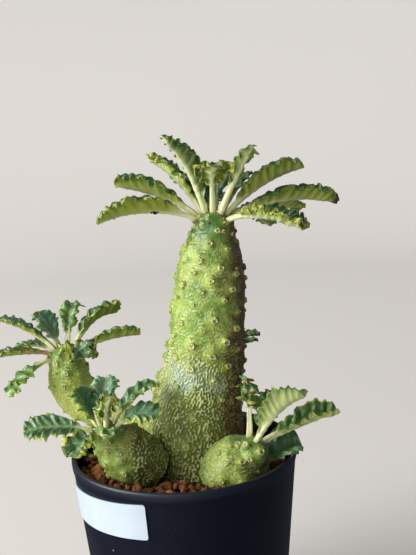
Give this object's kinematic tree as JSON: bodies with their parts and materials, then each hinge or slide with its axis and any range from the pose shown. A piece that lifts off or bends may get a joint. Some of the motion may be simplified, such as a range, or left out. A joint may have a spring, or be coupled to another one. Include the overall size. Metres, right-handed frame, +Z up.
{
  "type": "potted succulent plant",
  "caption": "Fat-stemmed succulent with a knobbly green trunk, low side shoots and rosettes of crisped leaves, in a round black tapered nursery pot with a blank label.",
  "frame": {"origin": "centre of the pot's underside, on the surface it stands on", "axes": "+Z up along the pot's axis, +X to the right and +Y away from the viewer of the picture"},
  "size_m": [0.1243, 0.0904, 0.1814],
  "materials": {
    "pot": "satin black, faintly scuffed",
    "label": "smooth white tape",
    "soil": "crumbly baked clay granules",
    "caudex": "waxy green living skin with pale leaf scars",
    "leaf": "satin living leaf, dark above and pale below"
  },
  "bodies": {
    "root": {"back_leaf_01": "leaf", "back_leaf_02": "leaf", "back_leaf_03": "leaf", "back_leaf_04": "leaf", "back_leaf_05": "leaf", "back_leaf_06": "leaf", "bud_leaf_01": "leaf", "caudex": "caudex", "label": "label", "left_back_leaf_01": "leaf", "left_back_leaf_02": "leaf", "left_back_leaf_03": "leaf", "left_back_leaf_04": "leaf", "left_back_leaf_05": "leaf", "left_back_leaf_06": "leaf", "left_back_leaf_07": "leaf", "left_back_leaf_08": "leaf", "left_back_leaf_09": "leaf", "left_front_leaf_01": "leaf", "left_front_leaf_02": "leaf", "left_front_leaf_03": "leaf", "left_front_leaf_04": "leaf", "left_front_leaf_05": "leaf", "left_front_leaf_06": "leaf", "left_front_leaf_07": "leaf", "left_front_leaf_08": "leaf", "left_front_leaf_09": "leaf", "main_leaf_01": "leaf", "main_leaf_02": "leaf", "main_leaf_03": "leaf", "main_leaf_04": "leaf", "main_leaf_05": "leaf", "main_leaf_06": "leaf", "main_leaf_07": "leaf", "main_leaf_08": "leaf", "main_leaf_09": "leaf", "main_leaf_10": "leaf", "main_leaf_11": "leaf", "main_leaf_12": "leaf", "main_leaf_13": "leaf", "main_leaf_14": "leaf", "main_leaf_15": "leaf", "main_leaf_16": "leaf", "pot": "pot", "right_front_leaf_01": "leaf", "right_front_leaf_02": "leaf", "right_front_leaf_03": "leaf", "right_front_leaf_04": "leaf", "soil": "soil"}
  },
  "joints": []
}
